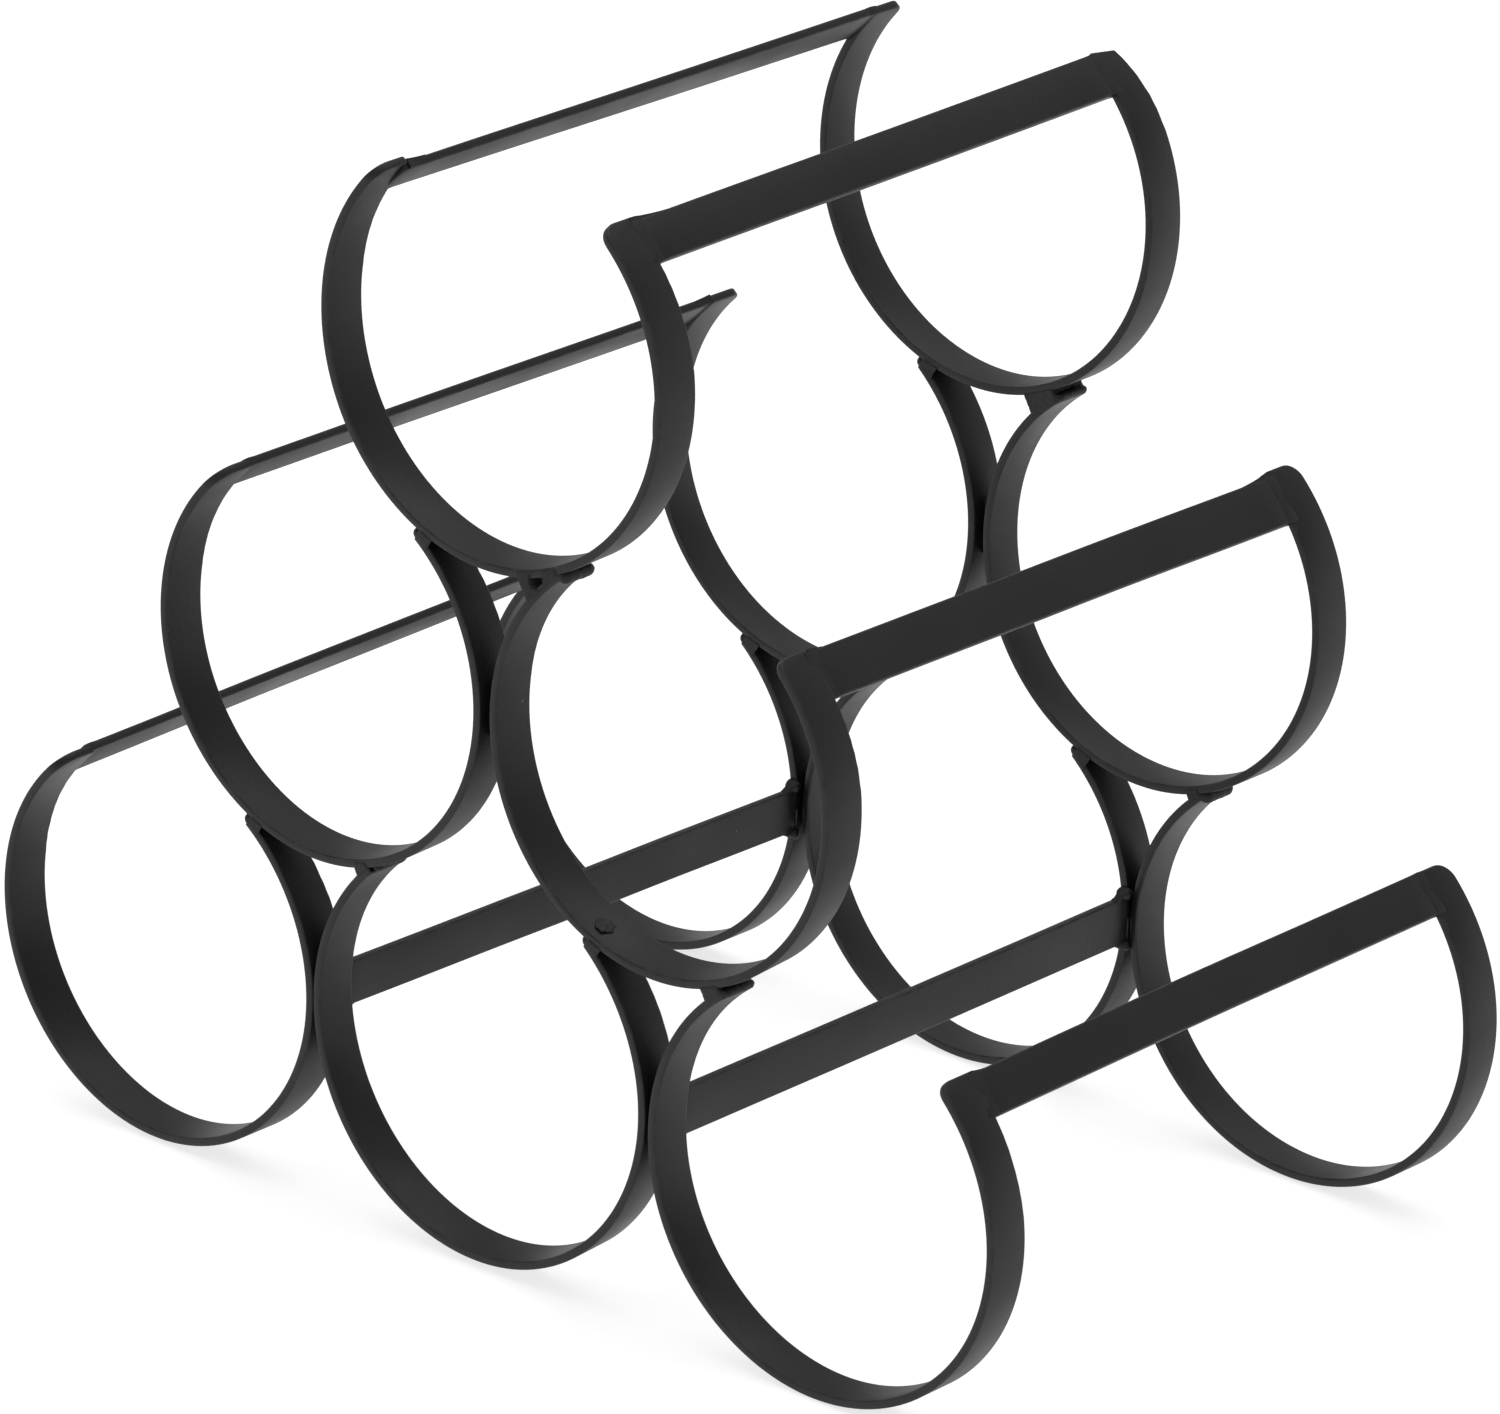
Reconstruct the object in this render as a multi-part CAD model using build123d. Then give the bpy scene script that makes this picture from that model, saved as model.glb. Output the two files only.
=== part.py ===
from build123d import *
import math
import os

# Wine rack of flat steel: a front and a rear pyramid of open hoops, tied together by flat bars.
# Millimetres. X runs along a row of hoops, Y from front to back, Z up, origin under the middle of the rack.

# Hoop strip, bent into a slightly flattened ring, and the rounded edges of the rolled bars
hoop_width = 106.0
hoop_height = 104.0
strip_width = 11.0
steel_thickness = 2.2
edge_radius = 0.4
end_corner_radius = 3.5

# Hoop ends, in degrees from the lowest point of the hoop: free outer ends, and inner limbs under the hoop above
bottom_end_angle = 139.5
middle_end_angle = 137.5
top_end_angle = 139.5
limb_end_angle = 141.0

# How the hoops stand against each other
side_gap = 1.0
stack_gap = 0.2

# Tie bars between the two frames
bar_length = 164.0
bar_width = 11.4

# Weld metal
seam_width = 0.8
seam_rise = 0.15
side_weld_height = 14.0
side_weld_inset = 2.0
limb_weld_length = 6.5
limb_weld_inset = 0.2
bead_radius = 2.6
bead_overhang = 0.8

bottom_row_count = 3

half_width = hoop_width / 2
half_height = hoop_height / 2
# A hoop is four arcs that meet at 45 degrees, their centres this far from the middle of the hoop
arc_offset = (half_width - half_height) / (2 - math.sqrt(2))
row_pitch = hoop_width + side_gap
frame_offset = bar_length / 2 + seam_width + strip_width / 2

row_names = ["bottom", "middle", "top"]
free_end_angles = [bottom_end_angle, middle_end_angle, top_end_angle]
frames = {"front": -1, "rear": 1}


def place_name(row, place):
    count = bottom_row_count - row
    if count == 1:
        return row_names[row]
    side = "left" if place == 0 else "right" if place == count - 1 else "middle"
    return row_names[row] + "_" + side


def hoop_centre(row, place):
    step = place - (bottom_row_count - row - 1) / 2
    return step * row_pitch, half_height + row * hoop_rise()


def hoop_arc(quarter):
    # Centre and radius of an arc of the outer face: 0 is the lowest, 1 on the right, 2 on top, -1 on the left
    if quarter % 2:
        return quarter * arc_offset, 0, half_width - arc_offset
    return 0, (1 - abs(quarter)) * arc_offset, half_height + arc_offset


def on_strip(angle, depth):
    # Point in the hoop's own X and Z, so deep under the outer face, where that face is turned so far from straight down
    x, z, radius = hoop_arc(round(angle / 90))
    turn = math.radians(angle)
    return x + (radius - depth) * math.sin(turn), z - (radius - depth) * math.cos(turn)


def oval(depth):
    # Everything that a closed hoop would hold, so deep under its outer face
    arcs = []
    for quarter in range(-1, 3):
        x, z, radius = hoop_arc(quarter)
        arcs.append(CenterArc((x, z), radius - depth, 90 * quarter - 135, 90))
    return make_face(arcs)


def oval_column():
    return extrude(Plane.XZ * oval(0), strip_width / 2, both=True)


def limb_seat():
    # Outer corner of a right-hand limb's end, in its own hoop, and the angle where the hoop above meets it
    x, z = on_strip(limb_end_angle, 0)
    radius = hoop_arc(0)[2]
    angle = math.degrees(math.asin((x - row_pitch / 2) / radius))
    return x, z, angle


def hoop_rise():
    # The hoop above rests on the corners of the limbs, the weld's root gap above them
    x, z, angle = limb_seat()
    return z + stack_gap - on_strip(angle, 0)[1]


def bent_strip(left_angle, right_angle):
    # The mouth between the two ends is cut square across the strip
    mouth = Polygon(
        on_strip(-left_angle, half_width / 2),
        on_strip(right_angle, half_width / 2),
        on_strip(right_angle, -hoop_width),
        on_strip(-left_angle, -hoop_width),
        align=None,
    )
    return extrude(Plane.XZ * (oval(0) - oval(steel_thickness) - mouth), strip_width / 2, both=True)


def hoop(row, place, outward):
    # A free end has its outward corner rounded, an inner limb is cut square
    last = bottom_row_count - row - 1
    free_angle = free_end_angles[row]
    left_angle = free_angle if place == 0 else limb_end_angle
    right_angle = free_angle if place == last else limb_end_angle
    strip = bent_strip(left_angle, right_angle)
    outer_side = outward * strip_width / 2
    corners = strip.edges().filter_by(GeomType.LINE).filter_by_position(Axis.Y, outer_side, outer_side)
    if place != 0:
        corners = corners.filter_by(lambda edge: edge.center().X > 0)
    if place != last:
        corners = corners.filter_by(lambda edge: edge.center().X < 0)
    if corners:
        strip = fillet(corners, min(end_corner_radius, strip_width / 2))
    x, z = hoop_centre(row, place)
    return Pos(x, outward * frame_offset, z) * strip


def flat_bar():
    # Bar along Y, its width along X, its outer face up
    bar = Box(bar_width, bar_length, steel_thickness)
    return fillet(bar.edges().filter_by(Axis.Y), edge_radius)


def outer_bar_place(row, side):
    # The bar follows the strip at the free end, its upper edge level with that end
    angle = side * (free_end_angles[row] - math.degrees(bar_width / 2 / half_width))
    place = 0 if side < 0 else bottom_row_count - row - 1
    x, z = hoop_centre(row, place)
    dx, dz = on_strip(angle, steel_thickness / 2)
    return Pos(x + dx, 0, z + dz) * Rot(0, -angle, 0)


def inner_bar_place(gap):
    # The bar stands upright in line with the limb on the left of the gap between two bottom hoops
    x, z = hoop_centre(0, gap)
    return Pos(x + half_width - steel_thickness / 2, 0, z) * Rot(0, 90, 0)


def bar_places():
    places = {}
    for row in range(bottom_row_count):
        for name, side in {"left": -1, "right": 1}.items():
            places[row_names[row] + "_" + name + "_bar"] = outer_bar_place(row, side)
    for gap, name in enumerate(["left", "right"]):
        places["inner_" + name + "_bar"] = inner_bar_place(gap)
    return places


def seam_welds(outward):
    # Thin slice of weld between each bar's end and the hoop's edge, a little proud of the bar
    y = outward * (bar_length + seam_width) / 2
    seam = Box(bar_width + 2 * seam_rise, seam_width, steel_thickness + 2 * seam_rise)
    return [place * Pos(0, y, 0) * seam for place in bar_places().values()]


def side_welds(outward):
    # Weld between two hoops of one row, hollowed by both
    depth = strip_width - 2 * side_weld_inset
    welds = []
    for row in range(bottom_row_count - 1):
        for place in range(bottom_row_count - row - 1):
            x, z = hoop_centre(row, place)
            filler = Pos(row_pitch / 2, 0, 0) * Box(side_gap + 2 * steel_thickness, depth, side_weld_height)
            filler = filler - oval_column() - Pos(row_pitch, 0, 0) * oval_column()
            welds.append(Pos(x, outward * frame_offset, z) * filler)
    return welds


def limb_weld(side):
    # Weld in the notch between a limb's end and the hoop above, hollowed by both
    x, z, angle = limb_seat()
    notch_lean = (limb_end_angle - 180 + angle) / 2
    depth = strip_width - 2 * limb_weld_inset
    filler = Pos(limb_weld_length / 2, 0, 0) * Box(limb_weld_length, depth, limb_weld_length)
    filler = Pos(x, 0, z) * Rot(0, -notch_lean, 0) * filler
    weld = filler - oval_column() - Pos(row_pitch / 2, 0, hoop_rise()) * oval_column()
    return weld if side > 0 else mirror(weld, Plane.YZ)


def limb_welds(outward):
    welds = []
    for row in range(bottom_row_count - 1):
        last = bottom_row_count - row - 1
        for place in range(last + 1):
            x, z = hoop_centre(row, place)
            sides = [side for side in (-1, 1) if 0 <= place + (side - 1) / 2 < last]
            welds += [Pos(x, outward * frame_offset, z) * limb_weld(side) for side in sides]
    return welds


def bead_welds(outward):
    # Quarter-round beads on the hoop's edge, above and below each inner bar
    foot = bar_width / 2 + seam_rise
    face = bar_length / 2 + seam_width
    corner = Rectangle(bead_radius, bead_radius, align=(Align.MIN, Align.MIN))
    quarter = Plane.YZ * (Circle(bead_radius) & corner)
    bead = extrude(quarter, steel_thickness / 2 + bead_overhang, both=True)
    welds = []
    for gap in range(bottom_row_count - 1):
        x, z = hoop_centre(0, gap)
        for upward in (-1, 1):
            turned = bead
            if upward < 0:
                turned = turned.mirror(Plane.XY)
            if outward > 0:
                turned = turned.mirror(Plane.XZ)
            centre = x + half_width - steel_thickness / 2
            welds.append(Pos(centre, outward * face, z + upward * foot) * turned)
    return welds


def write(node, *solids):
    shape = solids[0] if len(solids) == 1 else Compound(children=list(solids))
    export_step(shape, "parts/" + node + ".step")


os.makedirs("parts", exist_ok=True)
for frame, outward in frames.items():
    for row in range(bottom_row_count):
        for place in range(bottom_row_count - row):
            write(frame + "_hoop_" + place_name(row, place), hoop(row, place, outward))
    write(frame + "_side_welds", *side_welds(outward))
    write(frame + "_limb_welds", *limb_welds(outward))
    write(frame + "_seam_welds", *seam_welds(outward))
    write(frame + "_bead_welds", *bead_welds(outward))
for name, place in bar_places().items():
    write(name, place * flat_bar())
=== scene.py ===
import bmesh
import bpy
import math
from mathutils import Matrix, Vector


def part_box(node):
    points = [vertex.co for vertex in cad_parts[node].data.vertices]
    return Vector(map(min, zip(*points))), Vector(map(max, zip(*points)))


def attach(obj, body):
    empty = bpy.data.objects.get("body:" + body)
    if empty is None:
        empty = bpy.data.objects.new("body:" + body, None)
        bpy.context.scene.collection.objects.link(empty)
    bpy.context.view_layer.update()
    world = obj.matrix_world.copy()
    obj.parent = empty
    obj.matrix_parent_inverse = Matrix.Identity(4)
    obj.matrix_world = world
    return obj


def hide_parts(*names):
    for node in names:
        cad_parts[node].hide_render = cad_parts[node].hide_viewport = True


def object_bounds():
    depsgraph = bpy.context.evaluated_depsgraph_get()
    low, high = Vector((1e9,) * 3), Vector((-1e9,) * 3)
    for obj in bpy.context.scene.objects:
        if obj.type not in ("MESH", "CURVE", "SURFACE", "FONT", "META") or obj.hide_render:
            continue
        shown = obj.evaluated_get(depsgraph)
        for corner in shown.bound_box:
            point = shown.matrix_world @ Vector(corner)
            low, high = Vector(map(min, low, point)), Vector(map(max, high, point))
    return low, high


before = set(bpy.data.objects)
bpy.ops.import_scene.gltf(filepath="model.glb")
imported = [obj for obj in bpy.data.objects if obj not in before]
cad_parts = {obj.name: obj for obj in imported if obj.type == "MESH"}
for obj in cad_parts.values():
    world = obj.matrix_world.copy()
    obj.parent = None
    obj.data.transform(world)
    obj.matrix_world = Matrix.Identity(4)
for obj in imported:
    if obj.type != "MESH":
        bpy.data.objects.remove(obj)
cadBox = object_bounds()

print("frame loaded:", len(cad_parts), "nodes")


# Small helpers for selecting and finishing


faceLimits = {"sharp": math.radians(50), "smooth": math.radians(35)}  # rounded above, shaded smooth below
sameWay = 0.9  # a face looks along a direction when their dot product is above this


def clearSelection():
    if bpy.context.object and bpy.context.object.mode != "OBJECT":
        bpy.ops.object.mode_set(mode="OBJECT")
    bpy.ops.object.select_all(action="DESELECT")


def useOnly(piece):
    clearSelection()
    piece.select_set(True)
    bpy.context.view_layer.objects.active = piece


def settle(piece):
    # place, turn and size go into the mesh, the object stays at the origin
    useOnly(piece)
    bpy.ops.object.transform_apply(location=True, rotation=True, scale=True)


def editPiece(piece):
    useOnly(piece)
    bpy.ops.object.mode_set(mode="EDIT")


def pick(piece, kind, wanted):
    # selects only the corners, edges or faces that pass the test
    bpy.ops.mesh.select_mode(type={"verts": "VERT", "edges": "EDGE", "faces": "FACE"}[kind])
    mesh = bmesh.from_edit_mesh(piece.data)
    for part in (mesh.faces, mesh.edges, mesh.verts):
        for item in part:
            item.select_set(False)
    for item in getattr(mesh, kind):
        if wanted(item):
            item.select_set(True)
    mesh.select_flush_mode()
    bmesh.update_edit_mesh(piece.data)


def isSharp(edge):
    return len(edge.link_faces) == 2 and edge.calc_face_angle() > faceLimits["sharp"]


def roundSharpEdges(piece, radius, segments):
    # rounds every square edge and marks the rounded faces for the line of rubbed paint and painted edge
    # highlight
    pick(piece, "edges", isSharp)
    bpy.ops.mesh.bevel(offset=radius, segments=segments, affect="EDGES")
    bpy.ops.object.mode_set(mode="OBJECT")
    marks = [1.0 if face.select else 0.0 for face in piece.data.polygons]
    line = piece.data.attributes.new("edgeRubAndHighlightLine", "FLOAT", "FACE")
    line.data.foreach_set("value", marks)


def addNoise(piece, name, size, strength, colour):
    # colour noise shifts the metal bodily, grey noise roughens it along its normals
    noise = bpy.data.textures.new(name, "CLOUDS")
    noise.noise_scale = size
    noise.noise_depth = 1
    noise.cloud_type = "COLOR" if colour else "GRAYSCALE"
    useOnly(piece)
    shift = piece.modifiers.new(name, "DISPLACE")
    shift.texture = noise
    shift.texture_coords = "LOCAL"
    shift.direction = "RGB_TO_XYZ" if colour else "NORMAL"
    shift.strength = strength
    shift.mid_level = 0.5
    bpy.ops.object.modifier_apply(modifier=name)


handBend = {"size": 0.11, "strength": 0.0006}  # slow waver of metal bent by hand


def bendByHand(piece):
    addNoise(piece, "handBend", handBend["size"], handBend["strength"], True)


def finishPiece(piece, name, material, nodes):
    piece.name = name
    piece.data.name = name
    useOnly(piece)
    bpy.ops.object.shade_smooth_by_angle(angle=faceLimits["smooth"])
    piece.data.materials.clear()
    piece.data.materials.append(material)
    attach(piece, "root")
    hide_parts(*nodes)


# Paint finishes


def newGroup(name, inputs, outputs):
    group = bpy.data.node_groups.new(name, "ShaderNodeTree")
    for label, value in inputs.items():
        socket = group.interface.new_socket(label, in_out="INPUT", socket_type="NodeSocketFloat")
        socket.default_value = value
    for label in outputs:
        group.interface.new_socket(label, in_out="OUTPUT", socket_type="NodeSocketFloat")
    return group, group.nodes.new("NodeGroupInput"), group.nodes.new("NodeGroupOutput")


def addMath(tree, operation, first, second):
    node = tree.nodes.new("ShaderNodeMath")
    node.operation = operation
    for socket, value in zip(node.inputs, (first, second)):
        if isinstance(value, (int, float)):
            socket.default_value = value
        else:
            tree.links.new(value, socket)
    return node.outputs[0]


def addRange(tree, value, low, high):
    node = tree.nodes.new("ShaderNodeMapRange")
    node.interpolation_type = "SMOOTHSTEP"
    node.inputs["From Min"].default_value = low
    node.inputs["From Max"].default_value = high
    tree.links.new(value, node.inputs["Value"])
    return node.outputs["Result"]


def addClouds(tree, place, scale, detail):
    node = tree.nodes.new("ShaderNodeTexNoise")
    node.inputs["Detail"].default_value = detail
    if isinstance(scale, (int, float)):
        node.inputs["Scale"].default_value = scale
    else:
        tree.links.new(scale, node.inputs["Scale"])
    tree.links.new(place, node.inputs["Vector"])
    return node.outputs["Fac"]


grainForm = {
    "peelScale": 1800.0, "peelDetail": 2.0,
    "mottleScale": 45.0, "mottleDetail": 5.0, "mottleRange": (0.3, 0.7),
    "speckScale": 110.0, "speckRange": (0.045, 0.02),
    "patchScale": 60.0, "patchDetail": 1.0, "patchRange": (0.62, 0.7),
}


def makePaintGrain():
    # fine orange peel, slow mottling, dust specks in patches
    scales = {"Peel Scale": grainForm["peelScale"], "Mottle Scale": grainForm["mottleScale"]}
    group, inside, outside = newGroup("paintGrain", scales, ["Peel", "Mottle", "Specks"])
    place = group.nodes.new("ShaderNodeTexCoord").outputs["Object"]
    peel = addClouds(group, place, inside.outputs["Peel Scale"], grainForm["peelDetail"])
    mottle = addClouds(group, place, inside.outputs["Mottle Scale"], grainForm["mottleDetail"])
    dots = group.nodes.new("ShaderNodeTexVoronoi")
    dots.inputs["Scale"].default_value = grainForm["speckScale"]
    group.links.new(place, dots.inputs["Vector"])
    small = addRange(group, dots.outputs["Distance"], *grainForm["speckRange"])
    patches = addClouds(group, place, grainForm["patchScale"], grainForm["patchDetail"])
    some = addRange(group, patches, *grainForm["patchRange"])
    group.links.new(peel, outside.inputs["Peel"])
    group.links.new(addRange(group, mottle, *grainForm["mottleRange"]), outside.inputs["Mottle"])
    group.links.new(addMath(group, "MULTIPLY", small, some), outside.inputs["Specks"])
    return group


rubAndHighlightForm = {"amount": 0.5, "scale": 220.0, "detail": 4.0, "range": (0.35, 0.65)}


def makeEdgeRub():
    # the marked edge line, broken up so that the paint is thin in places only; the lighter edge is also a
    # painted highlight on the rounded edges
    group, inside, outside = newGroup("edgeRub", {"Line": 0.0, "Amount": rubAndHighlightForm["amount"]}, ["Rub"])
    place = group.nodes.new("ShaderNodeTexCoord").outputs["Object"]
    clouds = addClouds(group, place, rubAndHighlightForm["scale"], rubAndHighlightForm["detail"])
    broken = addRange(group, clouds, *rubAndHighlightForm["range"])
    rubAndHighlight = addMath(group, "MULTIPLY", inside.outputs["Line"], broken)
    group.links.new(addMath(group, "MULTIPLY", rubAndHighlight, inside.outputs["Amount"]), outside.inputs["Rub"])
    return group


paintGrain = makePaintGrain()
edgeRub = makeEdgeRub()


colourSockets = {"first": 6, "second": 7, "result": 2}  # the Mix node has one set of sockets per data type


def mixColour(tree, factor, first, second):
    node = tree.nodes.new("ShaderNodeMix")
    node.data_type = "RGBA"
    tree.links.new(factor, node.inputs["Factor"])
    for name, value in (("first", first), ("second", second)):
        socket = node.inputs[colourSockets[name]]
        if isinstance(value, tuple):
            socket.default_value = (*value, 1.0)
        else:
            tree.links.new(value, socket)
    return node.outputs[colourSockets["result"]]


def makePaint(name, look):
    material = bpy.data.materials.new(name)
    material.use_nodes = True
    tree = material.node_tree
    shader = tree.nodes["Principled BSDF"]
    grain = tree.nodes.new("ShaderNodeGroup")
    grain.node_tree = paintGrain
    grain.inputs["Peel Scale"].default_value = look["peelScale"]
    grain.inputs["Mottle Scale"].default_value = look["mottleScale"]
    rubAndHighlight = tree.nodes.new("ShaderNodeGroup")
    rubAndHighlight.node_tree = edgeRub
    rubAndHighlight.inputs["Amount"].default_value = look["rubAndHighlightAmount"]
    line = tree.nodes.new("ShaderNodeAttribute")
    line.attribute_name = "edgeRubAndHighlightLine"
    tree.links.new(line.outputs["Fac"], rubAndHighlight.inputs["Line"])
    colour = mixColour(tree, grain.outputs["Mottle"], look["dark"], look["light"])
    # the lighter, bluer colour on the edge line is rubbed paint together with a painted highlight on the
    # rounded edges
    colour = mixColour(tree, rubAndHighlight.outputs["Rub"], colour, look["rubAndHighlightColour"])
    colour = mixColour(tree, grain.outputs["Specks"], colour, look["dust"])
    tree.links.new(colour, shader.inputs["Base Color"])
    rough = tree.nodes.new("ShaderNodeMapRange")
    rough.inputs["To Min"].default_value = look["roughLow"]
    rough.inputs["To Max"].default_value = look["roughHigh"]
    tree.links.new(grain.outputs["Mottle"], rough.inputs["Value"])
    tree.links.new(rough.outputs["Result"], shader.inputs["Roughness"])
    bump = tree.nodes.new("ShaderNodeBump")
    bump.inputs["Strength"].default_value = look["bump"]
    bump.inputs["Distance"].default_value = look["bumpDepth"]
    tree.links.new(grain.outputs["Peel"], bump.inputs["Height"])
    tree.links.new(bump.outputs["Normal"], shader.inputs["Normal"])
    shader.inputs["Specular IOR Level"].default_value = look["specular"]
    return material


# the edge colour stands for paint rubbed thin and for a painted highlight along the rounded edges
stripLook = {
    "dark": (0.0045, 0.0046, 0.0048), "light": (0.008, 0.008, 0.0078), "rubAndHighlightColour": (0.03, 0.031, 0.036),
    "dust": (0.12, 0.12, 0.115), "peelScale": 1500.0, "mottleScale": 40.0, "rubAndHighlightAmount": 0.6,
    "roughLow": 0.42, "roughHigh": 0.54, "bump": 0.25, "bumpDepth": 0.0002, "specular": 0.4,
}
barLook = dict(stripLook, mottleScale=30.0)
weldLook = dict(stripLook, peelScale=700.0, bump=0.5, roughLow=0.5, roughHigh=0.65)
stripPaint = makePaint("blackStripPaint", stripLook)
barPaint = makePaint("blackBarPaint", barLook)
weldPaint = makePaint("blackWeldPaint", weldLook)
print("paints made")


# Hoops, spun from a flat section


hoopBend = {
    "halfHeight": 0.052, "thick": 0.0022, "stepDegrees": 2.0, "mergeReach": 0.000001,
    "edgeRound": 0.00045, "edgeSegments": 3,
    "freeEnd": {"bottom": 138.8, "middle": 136.8, "top": 138.8},
    "limbStart": 130.0, "limbLimit": 144.0, "limbStep": 0.2, "limbGap": {-1: 0.0, 1: 0.0007},
}
# how the rack was bent and set by hand, measured against the photo and rounded to about half a millimetre
# or half a degree: shift and lift in metres, growth as a factor, longer or shorter ends in degrees, and how
# far the strip's inward edge stands aside and up
handSet = {
    "front_hoop_bottom_left": {"grow": 0.985, "leftEnd": 2.0, "lean": (0.0015, 0.001)},
    "front_hoop_bottom_middle": {
        "shift": -0.001, "lift": 0.002, "grow": 1.01, "leftEnd": 1.5, "rightEnd": 1.5,
        "lean": (0.0005, 0.001),
    },
    "front_hoop_bottom_right": {
        "shift": -0.0005, "leftEnd": -0.5, "rightEnd": -1.5, "lean": (0.0005, 0.0005),
    },
    "front_hoop_middle_left": {"shift": -0.0005, "grow": 0.985, "leftEnd": 3.0, "rightEnd": -0.5},
    "front_hoop_middle_right": {
        "shift": 0.0005, "lift": 0.0015, "grow": 0.995, "leftEnd": 3.0, "rightEnd": -0.5,
        "lean": (0.001, 0.0015),
    },
    "front_hoop_top": {"shift": -0.0005, "lift": 0.001, "grow": 1.01, "leftEnd": -3.0, "rightEnd": 0.5},
    "rear_hoop_bottom_left": {"shift": -0.0015, "grow": 1.01, "leftEnd": 4.5},
    "rear_hoop_bottom_middle": {"lift": 0.0005, "grow": 1.005},
    "rear_hoop_bottom_right": {"shift": -0.0005, "grow": 0.995, "leftEnd": 1.5},
    "rear_hoop_middle_left": {"shift": 0.0005, "leftEnd": 0.5},
    "rear_hoop_middle_right": {"shift": 0.002, "grow": 0.995, "leftEnd": -0.5, "rightEnd": 0.5},
    "rear_hoop_top": {"shift": -0.0005, "lift": 0.0005, "leftEnd": -3.5, "rightEnd": 3.5},
}
frameLean = {"front": (0.001, 0.001), "rear": (0.0, 0.0)}  # lean of a hoop that has none of its own
# free ends: how far the strip runs past the bar, how far the weld beside it runs along the bar, its outward
# and inward corner, the fillet under the bar, and how far the outward edge was cut back in length and width
plainEnd = {
    "reach": 0.0007, "run": 0.004, "corner": 0.0035, "inner": 0.0005,
    "fillet": 0.0, "skew": 0.0, "taper": 0.0,
}
freeEnds = {
    "front_hoop_top": {
        -1: {"corner": 0.0050, "inner": 0.0015}, 1: {"reach": 0.0012, "run": 0.011, "corner": 0.0045},
    },
    "front_hoop_middle_left": {-1: {"reach": 0.0, "corner": 0.0060, "fillet": 0.0018}},
    "front_hoop_bottom_left": {-1: {"reach": 0.0, "corner": 0.0060, "fillet": 0.0018}},
    "rear_hoop_top": {
        -1: {"reach": 0.0, "fillet": 0.0012},
        1: {"reach": 0.0006, "run": 0.0, "corner": 0.0005, "skew": 0.0012, "taper": 0.0030},
    },
    "rear_hoop_middle_left": {-1: {"reach": 0.0015}},
    "rear_hoop_middle_right": {1: {"reach": 0.0016, "run": 0.010, "corner": 0.0045, "inner": 0.0012}},
    "rear_hoop_bottom_right": {1: {"reach": 0.0, "corner": 0.0048}},
}
rowPlaces = {"bottom": ["left", "middle", "right"], "middle": ["left", "right"], "top": [""]}
rowNames = list(rowPlaces)


def hoopNode(frameSide, row, number):
    return "_".join(word for word in (frameSide, "hoop", row, rowPlaces[row][number]) if word)


def measureHoop(node):
    low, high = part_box(node)
    own = handSet.get(node, {})
    middle = (low + high) / 2
    grow = own.get("grow", 1.0)
    height = low.z + hoopBend["halfHeight"] + own.get("lift", 0)
    return {
        "centre": Vector((middle.x + own.get("shift", 0), middle.y, height)),
        "halfWidth": (high.x - low.x) / 2 * grow, "halfHeight": hoopBend["halfHeight"] * grow,
        "stripWidth": high.y - low.y, "lean": own.get("lean", frameLean[node.split("_")[0]]),
        "longer": {-1: own.get("leftEnd", 0), 1: own.get("rightEnd", 0)},
    }


def onHoop(hoop, angle, depth):
    # point on the strip, so deep under its outer face, at an angle from the lowest point
    turn = math.radians(angle)
    across = (hoop["halfWidth"] - depth) * math.sin(turn)
    return hoop["centre"] + Vector((across, 0, -(hoop["halfHeight"] - depth) * math.cos(turn)))


def alongHoop(hoop, angle):
    turn = math.radians(angle)
    return Vector((hoop["halfWidth"] * math.cos(turn), 0, hoop["halfHeight"] * math.sin(turn))).normalized()


def gapUnder(above, spot):
    away = spot - above["centre"]
    return (math.hypot(away.x / above["halfWidth"], away.z / above["halfHeight"]) - 1) * above["halfWidth"]


def limbEnd(hoop, side, above):
    # a limb runs up until its outer corner meets the hoop above, or stops just short of it
    angle = hoopBend["limbStart"]
    gap = gapUnder(above, onHoop(hoop, side * angle, 0))
    while angle < hoopBend["limbLimit"] and gap > hoopBend["limbGap"][side]:
        angle += hoopBend["limbStep"]
        gap = gapUnder(above, onHoop(hoop, side * angle, 0))
    return angle


hoops = {}
limbs = []
for frameSide in ("front", "rear"):
    for row in reversed(rowNames):
        last = len(rowPlaces[row]) - 1
        for number in range(last + 1):
            node = hoopNode(frameSide, row, number)
            hoop = measureHoop(node)
            ownEnds = freeEnds.get(node, {})
            hoop["shape"] = {side: dict(plainEnd, **ownEnds.get(side, {})) for side in (-1, 1)}
            hoop["outward"] = -1 if frameSide == "front" else 1
            hoop["free"] = {-1: number == 0, 1: number == last}
            hoop["ends"] = {}
            for side in (-1, 1):
                if hoop["free"][side]:
                    hoop["ends"][side] = hoopBend["freeEnd"][row] + hoop["longer"][side]
                else:
                    rowAbove = rowNames[rowNames.index(row) + 1]
                    above = hoops[hoopNode(frameSide, rowAbove, number + (side - 1) // 2)]
                    hoop["ends"][side] = limbEnd(hoop, side, above) + hoop["longer"][side]
                    limb = {"node": node, "hoop": hoop, "side": side, "above": above}
                    limb["frameSide"] = frameSide
                    limbs.append(limb)
            hoops[node] = hoop


endForm = {"segments": 8, "spare": 0.0002, "faceReach": 0.001, "edgeReach": 0.0003}


def endLength(hoop, side):
    return hoop["shape"][side]["corner"] + hoop["shape"][side]["skew"] + endForm["spare"]


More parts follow.
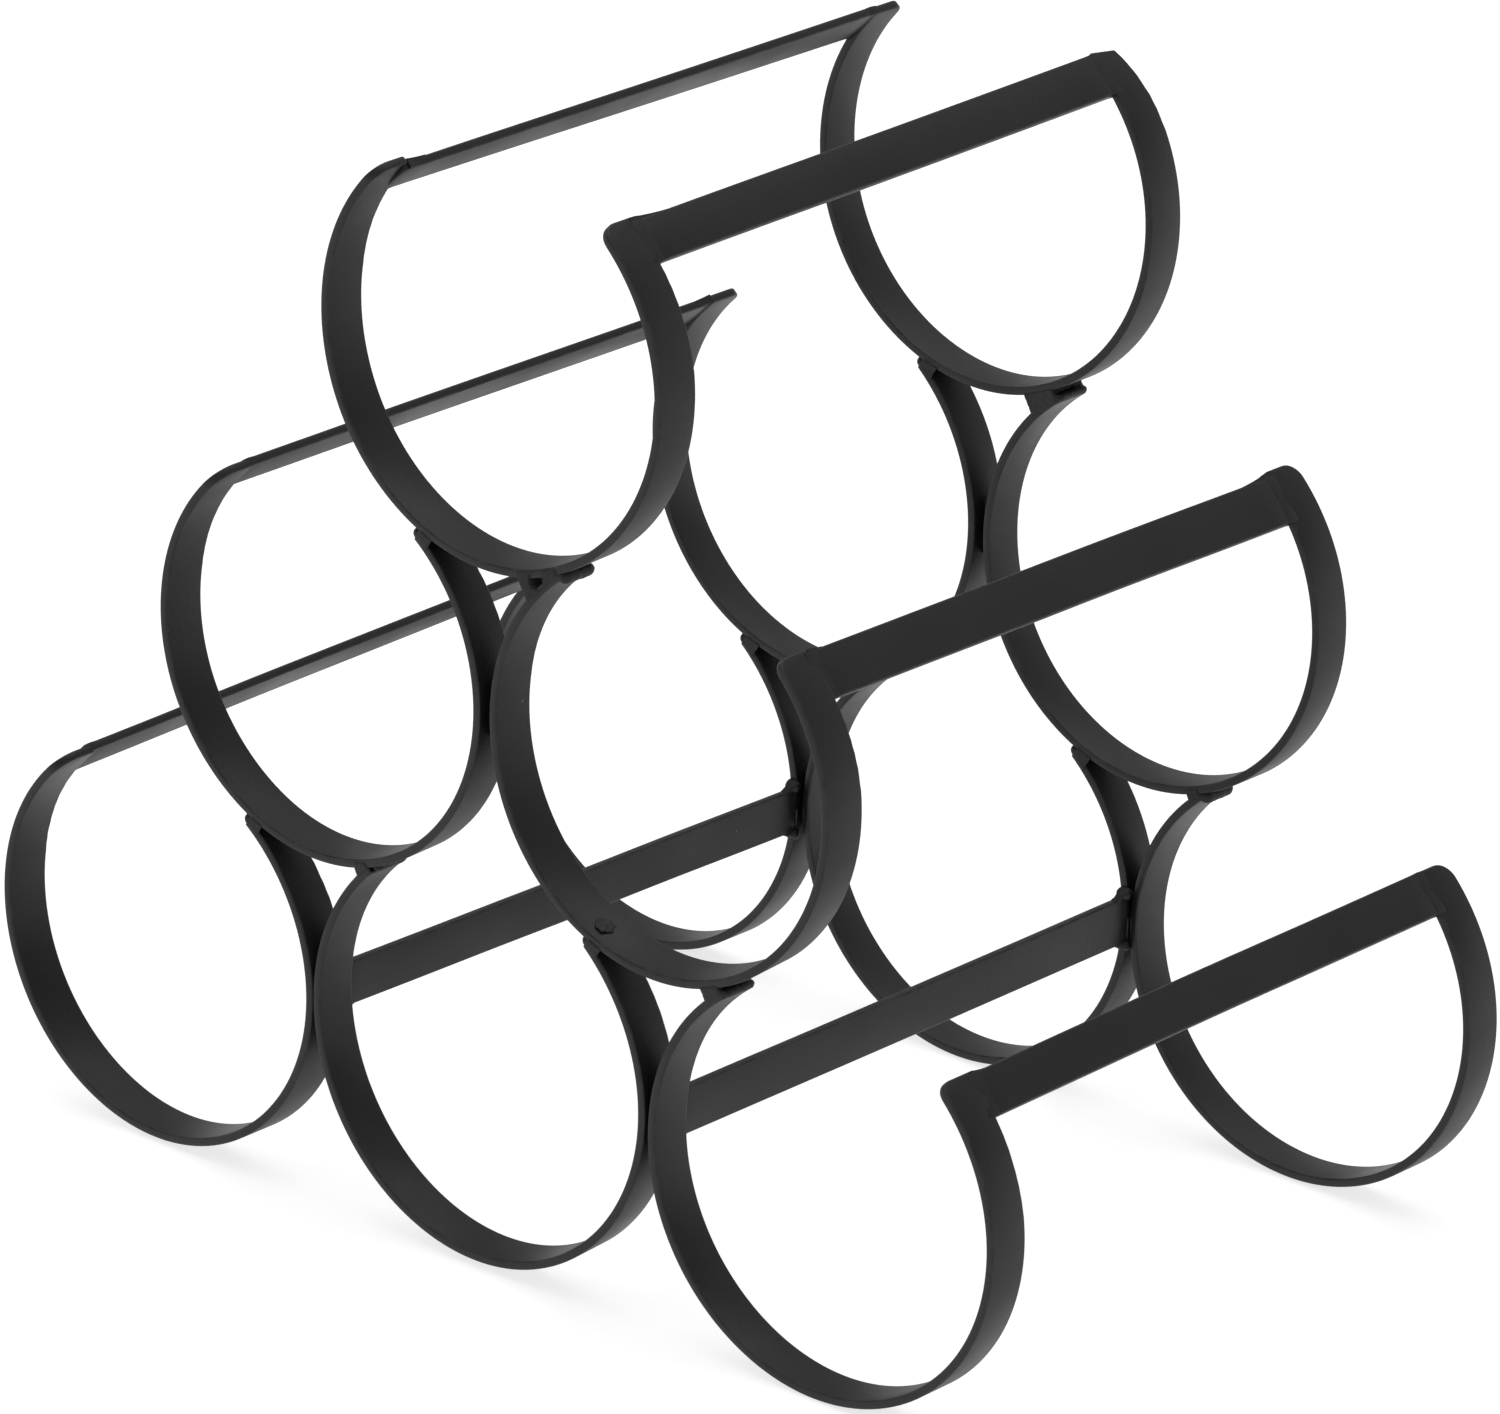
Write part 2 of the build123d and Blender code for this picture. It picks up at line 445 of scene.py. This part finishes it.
def makeHoop(node):
    hoop = hoops[node]
    centre = hoop["centre"]
    spun = dict(hoop["ends"])
    for side in (-1, 1):
        if hoop["free"][side]:
            past = hoop["shape"][side]["reach"] - endLength(hoop, side)
            spun[side] += math.degrees(past / hoop["halfWidth"])
    start = math.radians(-spun[-1])
    sweep = math.radians(spun[-1] + spun[1])
    reach = hoop["halfWidth"] - hoopBend["thick"] / 2
    clearSelection()
    bpy.ops.mesh.primitive_plane_add(
        size=1,
        location=centre + reach * Vector((math.sin(start), 0, -math.cos(start))),
        rotation=(0, math.pi / 2 - start, 0),
    )
    piece = bpy.context.object
    piece.scale = (hoopBend["thick"], hoop["stripWidth"], 1)
    settle(piece)
    editPiece(piece)
    bpy.ops.mesh.select_all(action="SELECT")
    steps = round(math.degrees(sweep) / hoopBend["stepDegrees"])
    bpy.ops.mesh.spin(steps=steps, angle=sweep, center=centre, axis=(0, 1, 0))
    bpy.ops.mesh.select_all(action="SELECT")
    bpy.ops.mesh.remove_doubles(threshold=hoopBend["mergeReach"])
    bpy.ops.mesh.normals_make_consistent(inside=False)
    bpy.ops.transform.resize(value=(1, 1, hoop["halfHeight"] / hoop["halfWidth"]), center_override=centre)
    for side in (-1, 1):
        if hoop["free"][side]:
            roundFreeEnd(piece, hoop, side, side * spun[side])
            taperEnd(piece, hoop, side)
    leanStrip(piece, hoop)
    roundSharpEdges(piece, hoopBend["edgeRound"], hoopBend["edgeSegments"])
    bendByHand(piece)
    finishPiece(piece, node + "_strip", stripPaint, [node])


def roundFreeEnd(piece, hoop, side, angle):
    # the last few millimetres are one straight piece with its corners rounded off
    shape = hoop["shape"][side]
    length = endLength(hoop, side)
    ahead = alongHoop(hoop, angle) * side
    spot = onHoop(hoop, angle, hoopBend["thick"] / 2)
    halfStrip = Vector((0, hoop["outward"] * hoop["stripWidth"] / 2, 0))

    def isEndFace(face):
        near = (face.calc_center_median() - spot).length < endForm["faceReach"]
        return near and face.normal.dot(ahead) > sameWay

    pick(piece, "faces", isEndFace)
    bpy.ops.mesh.extrude_region_move(TRANSFORM_OT_translate={"value": ahead * length})
    if shape["skew"]:
        outerTip = spot + ahead * length + halfStrip
        pick(piece, "verts", lambda point: (point.co - outerTip).length < hoopBend["thick"])
        bpy.ops.transform.translate(value=-ahead * shape["skew"])
    for facing, radius, back in ((1, shape["corner"], shape["skew"]), (-1, shape["inner"], 0)):
        tip = spot + ahead * (length - back) + facing * halfStrip

        def isTipEdge(edge):
            return ((edge.verts[0].co + edge.verts[1].co) / 2 - tip).length < endForm["edgeReach"]

        pick(piece, "edges", isTipEdge)
        bpy.ops.mesh.bevel(offset=radius, segments=endForm["segments"], affect="EDGES", clamp_overlap=True)


taperForm = {"length": 0.022, "steps": 16, "from": 0.002}  # from: distance outward of the strip's middle


def taperEnd(piece, hoop, side):
    # the outward edge is drawn in towards the end, in shares that each start nearer to the end
    share = hoop["shape"][side]["taper"] / taperForm["steps"]
    if not share:
        return
    for step in range(taperForm["steps"]):
        back = taperForm["length"] * (1 - math.sqrt(step / taperForm["steps"]))
        angle = side * (hoop["ends"][side] - math.degrees(back / hoop["halfWidth"]))
        start = onHoop(hoop, angle, 0)
        ahead = alongHoop(hoop, angle) * side

        def isPast(point):
            away = point.co - start
            outside = (point.co.y - hoop["centre"].y) * hoop["outward"] > taperForm["from"]
            return outside and away.dot(ahead) > 0 and away.length < 2 * taperForm["length"]

        pick(piece, "verts", isPast)
        bpy.ops.transform.translate(value=(0, -hoop["outward"] * share, 0))


leanFade = {"from": 0.008, "to": 0.034, "steps": 8}  # heights over the hoop's centre


def leanStrip(piece, hoop):
    # the inward edge moves in small shares, each stopping higher up the hoop than the one before
    share = Vector((hoop["lean"][0], 0, hoop["lean"][1])) / leanFade["steps"]
    if not share.length:
        return
    for step in range(leanFade["steps"]):
        limit = leanFade["from"] + (leanFade["to"] - leanFade["from"]) * step / (leanFade["steps"] - 1)

        def leans(point):
            away = point.co - hoop["centre"]
            return away.y * hoop["outward"] < 0 and away.z < limit

        pick(piece, "verts", leans)
        bpy.ops.transform.translate(value=share)


for node in hoops:
    makeHoop(node)
print("hoops made")


# Tie bars, drawn from the front hoop's end to the rear hoop's end


barCut = {"width": 0.0114, "thick": 0.0022, "cuts": 27, "edgeRound": 0.00045, "edgeSegments": 3}
wideBars = {"middle_right_bar": 0.0124, "inner_right_bar": 0.0121}
# degrees that a bar leans past the strip
barTilt = {
    "top_left_bar": {"front": 9.0, "rear": 5.0}, "middle_left_bar": {"front": 3.0, "rear": 4.0},
    "bottom_left_bar": {"front": -1.0, "rear": -1.0},
}
# how deep a bar lies under the strip's outer face
barSink = {
    "top_left_bar": {"front": 0.0005, "rear": -0.0005},
    "middle_left_bar": {"front": -0.0005, "rear": -0.0005},
    "bottom_left_bar": {"front": -0.0005, "rear": -0.0005},
}
# how far the ends of the inner bars were set off by hand
innerLift = {"left": {"front": 0.001, "rear": -0.001}, "right": {"front": -0.002, "rear": 0.0005}}


def barWidth(node):
    return wideBars.get(node, barCut["width"])


def barEnd(node, frameSide):
    # middle of the bar's end and the direction of its width
    row, side = node.split("_")[:2]
    if row == "inner":
        hoop = hoops[hoopNode(frameSide, "bottom", 0 if side == "left" else 1)]
        spot = onHoop(hoop, 90, barCut["thick"] / 2) + Vector((0, 0, innerLift[side][frameSide]))
        across = Vector((0, 0, 1))
    else:
        number = 0 if side == "left" else len(rowPlaces[row]) - 1
        hoop = hoops[hoopNode(frameSide, row, number)]
        sign = -1 if side == "left" else 1
        angle = sign * (hoop["ends"][sign] - math.degrees(barWidth(node) / 2 / hoop["halfWidth"]))
        spot = onHoop(hoop, angle, barCut["thick"] / 2 + barSink.get(node, {}).get(frameSide, 0))
        across = alongHoop(hoop, angle + sign * barTilt.get(node, {}).get(frameSide, 0)) * sign
    low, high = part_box(node)
    return Vector((spot.x, low.y if frameSide == "front" else high.y, spot.z)), across


def makeBar(node):
    front, frontAcross = barEnd(node, "front")
    rear, rearAcross = barEnd(node, "rear")
    clearSelection()
    turn = math.atan2(-frontAcross.z, frontAcross.x)
    bpy.ops.mesh.primitive_plane_add(size=1, location=front, rotation=(math.pi / 2, turn, 0))
    piece = bpy.context.object
    piece.scale = (barWidth(node), barCut["thick"], 1)
    settle(piece)
    editPiece(piece)
    bpy.ops.mesh.select_all(action="SELECT")
    bpy.ops.mesh.extrude_region_move(TRANSFORM_OT_translate={"value": rear - front})
    twist = math.atan2(-rearAcross.z, rearAcross.x) - turn
    bpy.ops.transform.rotate(value=-twist, orient_axis="Y", center_override=rear)
    bpy.ops.mesh.select_all(action="SELECT")
    bpy.ops.mesh.normals_make_consistent(inside=False)
    half = (rear - front).length / 2
    pick(piece, "edges", lambda edge: abs((edge.verts[0].co - edge.verts[1].co).y) > half)
    bpy.ops.mesh.subdivide(number_cuts=barCut["cuts"])
    roundSharpEdges(piece, barCut["edgeRound"], barCut["edgeSegments"])
    bendByHand(piece)
    finishPiece(piece, node + "_flat", barPaint, [node])


barRows = ("bottom", "middle", "top", "inner")
barNodes = [row + "_" + side + "_bar" for row in barRows for side in ("left", "right")]
for node in barNodes:
    makeBar(node)
print("bars made")


# Welds: butt seams, notch fills, beads and side fills


unitRadius = 0.5  # for lumps that are made one unit large and sized afterwards


def copyPiece(base):
    piece = base.copy()
    piece.data = base.data.copy()
    bpy.context.collection.objects.link(piece)
    return piece


def putPiece(piece, place, turn, scale):
    piece.location = place
    piece.rotation_euler = turn
    piece.scale = scale
    settle(piece)
    return piece


def joinPieces(pieces):
    clearSelection()
    for piece in pieces:
        piece.select_set(True)
    bpy.context.view_layer.objects.active = pieces[0]
    bpy.ops.object.join()
    return pieces[0]


meltForm = {"voxel": 0.00032, "rounds": 10, "factor": 0.5}


def meltPiece(piece, voxel, rounds):
    # runs overlapping lumps into one smooth lump
    useOnly(piece)
    remesh = piece.modifiers.new("melt", "REMESH")
    remesh.mode = "VOXEL"
    remesh.voxel_size = voxel
    bpy.ops.object.modifier_apply(modifier="melt")
    soften = piece.modifiers.new("soften", "SMOOTH")
    soften.factor = meltForm["factor"]
    soften.iterations = rounds
    bpy.ops.object.modifier_apply(modifier="soften")


def roundAndCut(piece, form):
    # rounded edges, and enough faces to roughen
    editPiece(piece)
    bpy.ops.mesh.select_all(action="SELECT")
    bpy.ops.mesh.bevel(offset=form["round"], segments=form["segments"], affect="EDGES")
    bpy.ops.mesh.select_all(action="SELECT")
    bpy.ops.mesh.subdivide(number_cuts=form["cuts"])
    bpy.ops.object.mode_set(mode="OBJECT")


def turnFacesOut(piece):
    editPiece(piece)
    bpy.ops.mesh.select_all(action="SELECT")
    bpy.ops.mesh.normals_make_consistent(inside=False)
    bpy.ops.object.mode_set(mode="OBJECT")


seamForm = {
    "wide": 0.0046, "rise": 0.00006, "edge": 0.00005, "sink": 0.00006,
    "round": 0.0003, "segments": 2, "cuts": 2,
}


def makeSeam():
    # low ridge across a butt joint of a plain bar, its two ends sunk in the steel
    wide, thick = barCut["width"], barCut["thick"]
    whole = Vector((wide + 2 * seamForm["edge"], seamForm["wide"], thick + 2 * seamForm["rise"]))
    sunk = Vector((wide - 2 * seamForm["sink"], 0, thick - 2 * seamForm["sink"]))
    clearSelection()
    bpy.ops.mesh.primitive_cube_add(size=1)
    seam = bpy.context.object
    seam.scale = whole
    settle(seam)
    editPiece(seam)
    bpy.ops.mesh.select_all(action="SELECT")
    bpy.ops.mesh.bisect(plane_co=(0, 0, 0), plane_no=(0, 1, 0))
    pick(seam, "faces", lambda face: abs(face.normal.y) > sameWay)
    bpy.ops.transform.resize(value=(sunk.x / whole.x, 1, sunk.z / whole.z), center_override=(0, 0, 0))
    roundAndCut(seam, seamForm)
    return seam


filletForm = {"back": 0.15, "hollow": 0.97, "profile": 0.17, "segments": 8}


def makeFillet():
    # web of unit size with a hollow far corner, reaching back into the metal behind it
    middle = (1 - filletForm["back"]) / 2
    wide = 1 + filletForm["back"]
    clearSelection()
    bpy.ops.mesh.primitive_cube_add(size=1, location=(middle, middle, 0))
    fillet = bpy.context.object
    fillet.scale = (wide, wide, 1)
    settle(fillet)
    editPiece(fillet)
    pick(fillet, "edges", lambda edge: all(min(point.co.xy) > middle for point in edge.verts))
    bpy.ops.mesh.bevel(
        offset=filletForm["hollow"], segments=filletForm["segments"], profile=filletForm["profile"],
        affect="EDGES",
    )
    bpy.ops.object.mode_set(mode="OBJECT")
    return fillet


beadForm = {
    "drops": 4, "spacing": 0.2, "long": 0.42, "wide": (0.95, 1.0), "high": (1.0, 0.94),
    "segments": 20, "rings": 12, "voxel": 0.055, "rounds": 4,
}


def makeBead():
    # short run of overlapping puddles, one unit long, wide and high
    drops = []
    for number in range(beadForm["drops"]):
        clearSelection()
        bpy.ops.mesh.primitive_uv_sphere_add(
            segments=beadForm["segments"], ring_count=beadForm["rings"], radius=unitRadius,
            location=(beadForm["spacing"] * (number - (beadForm["drops"] - 1) / 2), 0, 0),
        )
        drop = bpy.context.object
        drop.scale = (beadForm["long"], beadForm["wide"][number % 2], beadForm["high"][number % 2])
        settle(drop)
        drops.append(drop)
    bead = joinPieces(drops)
    meltPiece(bead, beadForm["voxel"], beadForm["rounds"])
    return bead


def angleUnder(above, spot):
    away = spot - above["centre"]
    return math.degrees(math.atan2(away.x / above["halfWidth"], -away.z / above["halfHeight"]))


limbForm = {"length": {-1: 0.0062, 1: 0.0048}, "proud": 0.00025, "bite": 0.0011, "hollow": 0.0016}
# fills that run further or less far along the left limb than the others
webRun = {
    "front_hoop_middle_right": 0.0135, "front_hoop_bottom_middle": 0.0050,
    "front_hoop_bottom_right": 0.0064, "rear_hoop_middle_right": 0.0095, "rear_hoop_bottom_right": 0.0040,
}
# lumps on the limbs' tips, and those on left limbs that are larger or reach further than the others
plainTip = {
    -1: {"round": 0.0013, "out": 0.0003, "inward": 0.0},
    1: {"round": 0.0018, "out": 0.0003, "inward": -0.0003},
}
tipLump = {
    "front_hoop_middle_right": {"round": 0.0019, "inward": 0.0006},
    "rear_hoop_bottom_right": {"round": 0.0019, "inward": 0.0006},
    "front_hoop_bottom_middle": {"round": 0.0012, "out": 0.0018, "inward": 0.0006},
}
webPit = {
    "node": "front_hoop_middle_right", "along": 0.55, "heart": 0.0012, "soft": 0.0014, "depth": 0.0028,
}


def makeLimbWeld(limb):
    # wedge between the limb and the hoop above, hollow at its open end, with a bead over the limb's tip
    hoop, side, above = limb["hoop"], limb["side"], limb["above"]
    angle = side * hoop["ends"][side]
    apex = onHoop(hoop, angle, 0)
    lower = -side * alongHoop(hoop, angle)
    upper = side * alongHoop(above, angleUnder(above, apex))
    ahead = (lower + upper).normalized()
    length = limbForm["length"][side]
    if side < 0:
        length = webRun.get(limb["node"], length)
    root = max(gapUnder(above, apex), 0) + 2 * limbForm["bite"]
    mouth = 2 * length * math.tan(lower.angle(upper) / 2) + length ** 2 / hoop["halfWidth"] + root
    clearSelection()
    bpy.ops.mesh.primitive_cube_add(size=1, location=(length / 2, 0, 0))
    fill = bpy.context.object
    fill.scale = (length, hoop["stripWidth"] + 2 * limbForm["proud"], mouth)
    settle(fill)
    editPiece(fill)
    pick(fill, "faces", lambda face: face.normal.x < -sameWay)
    bpy.ops.transform.resize(value=(1, 1, root / mouth), center_override=(0, 0, 0))
    pick(fill, "faces", lambda face: face.normal.x > sameWay)
    bpy.ops.mesh.inset(thickness=limbForm["bite"])
    bpy.ops.transform.translate(value=(-limbForm["hollow"], 0, 0))
    bpy.ops.object.mode_set(mode="OBJECT")
    putPiece(fill, apex, (0, -math.atan2(ahead.z, ahead.x), 0), (1, 1, 1))
    lump = dict(plainTip[side])
    if side < 0:
        lump.update(tipLump.get(limb["node"], {}))
    tipSize = (hoop["stripWidth"], 2 * lump["round"], 2 * lump["round"])
    tipSpot = onHoop(hoop, angle, hoopBend["thick"] / 2 + lump["inward"]) - lower * lump["out"]
    tip = putPiece(copyPiece(beadShape), tipSpot, (0, 0, math.pi / 2), tipSize)
    weld = joinPieces([fill, tip])
    meltPiece(weld, meltForm["voxel"], meltForm["rounds"])
    if side < 0 and limb["node"] == webPit["node"]:
        pressPit(weld, hoop, apex + ahead * length * webPit["along"])
    return weld


def pressPit(weld, hoop, middle):
    # pit in the outward face of the web, pressed in with a soft edge
    reach = hoop["outward"] * (hoop["stripWidth"] / 2 + limbForm["proud"])
    spot = middle + Vector((0, reach, 0))
    editPiece(weld)
    pick(weld, "verts", lambda point: (point.co - spot).length < webPit["heart"])
    bpy.ops.transform.translate(
        value=(0, -hoop["outward"] * webPit["depth"], 0),
        use_proportional_edit=True, proportional_edit_falloff="SMOOTH", proportional_size=webPit["soft"],
    )
    bpy.ops.object.mode_set(mode="OBJECT")


burnMark = {
    "hoop": "front_hoop_bottom_middle", "side": 1, "size": (0.0052, 0.0066, 0.0006),
    "segments": 48, "rings": 24, "grain": 0.0012, "rough": 0.0007,
}


def makeBurnMark():
    # flat scab on the inner face of the hoop above a limb, burnt through from below
    limb = next(
        one for one in limbs if one["hoop"] is hoops[burnMark["hoop"]] and one["side"] == burnMark["side"]
    )
    above = limb["above"]
    tip = onHoop(limb["hoop"], limb["side"] * limb["hoop"]["ends"][limb["side"]], 0)
    angle = angleUnder(above, tip)
    clearSelection()
    bpy.ops.mesh.primitive_uv_sphere_add(
        segments=burnMark["segments"], ring_count=burnMark["rings"], radius=unitRadius
    )
    spot = onHoop(above, angle, hoopBend["thick"]) + Vector((above["lean"][0], 0, above["lean"][1])) / 2
    mark = putPiece(bpy.context.object, spot, (0, math.pi - math.radians(angle), 0), burnMark["size"])
    addNoise(mark, "scab", burnMark["grain"], burnMark["rough"], False)
    return mark


jointForm = {"gap": 0.0008, "proud": -0.0001, "runHeight": 0.8, "stepRun": 0.006}


def makeOuterJoint(node, frameSide, outward):
    # seam across the bar's end, with the fillets beside the bar that the free end's shape asks for
    spot, across = barEnd(node, frameSide)
    turn = (0, math.atan2(-across.z, across.x), 0)
    face = spot + Vector((0, outward * jointForm["gap"], 0))
    row, sideName = node.split("_")[:2]
    side = -1 if sideName == "left" else 1
    number = 0 if side < 0 else len(rowPlaces[row]) - 1
    shape = hoops[hoopNode(frameSide, row, number)]["shape"][side]
    thick = barCut["thick"] + 2 * jointForm["proud"]
    half = across * barWidth(node) / 2
    wider = barWidth(node) / barCut["width"]
    pieces = [putPiece(copyPiece(seamShape), (spot + face) / 2, turn, (wider, 1, 1))]
    if shape["fillet"]:
        inner = (-shape["fillet"], -outward * shape["fillet"], thick)
        pieces.append(putPiece(copyPiece(filletShape), face - half, turn, inner))
    if shape["reach"] and shape["run"]:
        outer = (shape["reach"] * jointForm["runHeight"], -outward * shape["run"], thick)
        pieces.append(putPiece(copyPiece(filletShape), face + half, turn, outer))
    sink = barSink.get(node, {}).get(frameSide, 0)
    if sink > 0:
        # the bar lies lower than the strip, and weld runs up to the strip's outer face
        normal = Vector((across.z, 0, -across.x)) * side
        faceTurn = (0, math.atan2(-normal.z, normal.x), 0)
        step = (sink, -outward * jointForm["stepRun"], barWidth(node))
        top = face + normal * barCut["thick"] / 2
        pieces.append(putPiece(copyPiece(filletShape), top, faceTurn, step))
    return pieces


innerBead = {
    "long": 0.0042, "deep": 0.0030, "high": 0.0030, "lift": 0.0006,
    "webHigh": 0.0024, "webRun": 0.0042, "rounds": 5, "tackShare": 0.5,
}


def makeInnerJoint(node, frameSide, outward):
    # the upper half of the bar's end is tacked, with a hollow fillet and a bead above and below
    spot, across = barEnd(node, frameSide)
    turn = (0, math.atan2(-across.z, across.x), 0)
    middle = spot + Vector((0, outward * jointForm["gap"] / 2, 0))
    upper = middle + across * barWidth(node) * (1 - innerBead["tackShare"]) / 2
    tack = putPiece(copyPiece(seamShape), upper, turn, (innerBead["tackShare"], 1, 1))
    size = (innerBead["long"], innerBead["deep"], innerBead["high"])
    beads = []
    for upward in (-1, 1):
        corner = middle + across * upward * barWidth(node) / 2
        beadSpot = corner + across * upward * innerBead["lift"]
        bead = putPiece(copyPiece(beadShape), beadSpot, (0, 0, 0), size)
        web = (upward * innerBead["webHigh"], -outward * innerBead["webRun"], barCut["thick"])
        fillet = putPiece(copyPiece(filletShape), corner, turn, web)
        weld = joinPieces([bead, fillet])
        turnFacesOut(weld)
        meltPiece(weld, meltForm["voxel"], innerBead["rounds"])
        beads.append(weld)
    return tack, beads


sideForm = {
    "high": 0.014, "inset": 0.004, "sink": 0.0008, "round": 0.0004, "segments": 2, "cuts": 3,
}


def makeSideWeld(frameSide, row, number):
    # block between two hoops of a row, sunk a little into both
    left = hoops[hoopNode(frameSide, row, number)]
    right = hoops[hoopNode(frameSide, row, number + 1)]
    ends = onHoop(left, 90, 0), onHoop(right, -90, 0)
    wide = (ends[1] - ends[0]).length + 2 * sideForm["sink"]
    clearSelection()
    bpy.ops.mesh.primitive_cube_add(size=1)
    block = bpy.context.object
    block.scale = (wide, left["stripWidth"] - 2 * sideForm["inset"], sideForm["high"])
    settle(block)
    roundAndCut(block, sideForm)
    return putPiece(block, (ends[0] + ends[1]) / 2, (0, 0, 0), (1, 1, 1))


weldNoise = {"size": 0.0013, "seam": 0.00004, "bead": 0.00025, "limb": 0.0002, "side": 0.00025}


def finishWelds(pieces, node):
    group = joinPieces(pieces)
    turnFacesOut(group)
    bendByHand(group)
    addNoise(group, "weldRipple", weldNoise["size"], weldNoise[node.split("_")[1]], False)
    finishPiece(group, node + "_metal", weldPaint, [node])


seamShape = makeSeam()
filletShape = makeFillet()
beadShape = makeBead()
sidePairs = (("bottom", 0), ("bottom", 1), ("middle", 0))
for frameSide, outward in (("front", -1), ("rear", 1)):
    seams = []
    beads = []
    for node in barNodes:
        if node.startswith("inner"):
            tack, pair = makeInnerJoint(node, frameSide, outward)
            seams.append(tack)
            beads += pair
        else:
            seams += makeOuterJoint(node, frameSide, outward)
    finishWelds(seams, frameSide + "_seam_welds")
    finishWelds(beads, frameSide + "_bead_welds")
    limbWelds = [makeLimbWeld(limb) for limb in limbs if limb["frameSide"] == frameSide]
    if burnMark["hoop"].startswith(frameSide):
        limbWelds.append(makeBurnMark())
    finishWelds(limbWelds, frameSide + "_limb_welds")
    sideWelds = [makeSideWeld(frameSide, row, number) for row, number in sidePairs]
    finishWelds(sideWelds, frameSide + "_side_welds")
for spare in (seamShape, filletShape, beadShape):
    bpy.data.objects.remove(spare, do_unlink=True)
print("welds made")


# Floor, lamp, world and camera


floorLook = {
    "size": 12.0, "drop": 0.0003, "colour": (0.45, 0.45, 0.45), "glow": 0.75,
    "roughness": 0.9, "specular": 0.0,
}


def makeFloor():
    clearSelection()
    height = cadBox[0].z - floorLook["drop"]
    bpy.ops.mesh.primitive_plane_add(size=floorLook["size"], location=(0, 0, height))
    floor = bpy.context.object
    floor.name = "studioFloor"
    material = bpy.data.materials.new("studioWhite")
    material.use_nodes = True
    tree = material.node_tree
    shader = tree.nodes["Principled BSDF"]
    shader.inputs["Base Color"].default_value = (*floorLook["colour"], 1.0)
    shader.inputs["Roughness"].default_value = floorLook["roughness"]
    shader.inputs["Specular IOR Level"].default_value = floorLook["specular"]
    shader.inputs["Emission Color"].default_value = (1, 1, 1, 1)
    # the glow is for the eye and for reflections, it lights nothing
    rays = tree.nodes.new("ShaderNodeLightPath").outputs
    seen = addMath(tree, "MAXIMUM", rays["Is Camera Ray"], rays["Is Glossy Ray"])
    seen = addMath(tree, "MAXIMUM", seen, rays["Is Transmission Ray"])
    tree.links.new(addMath(tree, "MULTIPLY", seen, floorLook["glow"]), shader.inputs["Emission Strength"])
    floor.data.materials.append(material)


makeFloor()

overLamp = {"place": (-0.2, 0.2, 2.2), "aim": (0.0, 0.0, 0.12), "size": 2.6, "power": 24.0}


def makeLamp():
    clearSelection()
    bpy.ops.object.light_add(type="AREA", location=overLamp["place"])
    light = bpy.context.object
    light.name = "overLamp"
    light.data.size = overLamp["size"]
    light.data.energy = overLamp["power"]
    aim = Vector(overLamp["aim"]) - light.location
    light.rotation_euler = aim.to_track_quat("-Z", "Y").to_euler()


makeLamp()

skyLight = {"horizon": 1.0, "zenith": 0.45, "from": 0.02, "to": 0.30}


def makeWorld():
    # white at the horizon, dimmer overhead, as in a light tent
    world = bpy.data.worlds.new("studioSky")
    bpy.context.scene.world = world
    world.use_nodes = True
    tree = world.node_tree
    back = tree.nodes["Background"]
    split = tree.nodes.new("ShaderNodeSeparateXYZ")
    tree.links.new(tree.nodes.new("ShaderNodeTexCoord").outputs["Generated"], split.inputs["Vector"])
    lift = addRange(tree, split.outputs["Z"], skyLight["from"], skyLight["to"])
    level = tree.nodes.new("ShaderNodeMapRange")
    level.inputs["To Min"].default_value = skyLight["horizon"]
    level.inputs["To Max"].default_value = skyLight["zenith"]
    tree.links.new(lift, level.inputs["Value"])
    tree.links.new(level.outputs["Result"], back.inputs["Strength"])
    back.inputs["Color"].default_value = (1, 1, 1, 1)


makeWorld()

cameraView = {
    "azimuth": 41.0, "elevation": 21.5, "roll": 1.4, "distance": 2.7, "lens": 269.3,
    "target": (0.0007, 0.0, 0.1176), "sensor": 36.0, "clipEnd": 60.0,
}


def makeCamera():
    clearSelection()
    bpy.ops.object.camera_add()
    camera = bpy.context.object
    camera.name = "photoCamera"
    turn, lift, roll = (math.radians(cameraView[key]) for key in ("azimuth", "elevation", "roll"))
    ahead = Vector((-math.sin(turn) * math.cos(lift), math.cos(turn) * math.cos(lift), -math.sin(lift)))
    right = Vector((math.cos(turn), math.sin(turn), 0))
    up = right.cross(ahead)
    rightRolled = math.cos(roll) * right + math.sin(roll) * up
    upRolled = math.cos(roll) * up - math.sin(roll) * right
    place = Vector(cameraView["target"]) - cameraView["distance"] * ahead
    turned = Matrix((rightRolled, upRolled, -ahead)).transposed().to_4x4()
    camera.matrix_world = Matrix.Translation(place) @ turned
    camera.data.lens = cameraView["lens"]
    camera.data.sensor_width = cameraView["sensor"]
    camera.data.clip_end = cameraView["clipEnd"]
    bpy.context.scene.camera = camera


makeCamera()
bpy.context.scene.view_settings.view_transform = "Standard"
print("stage set")
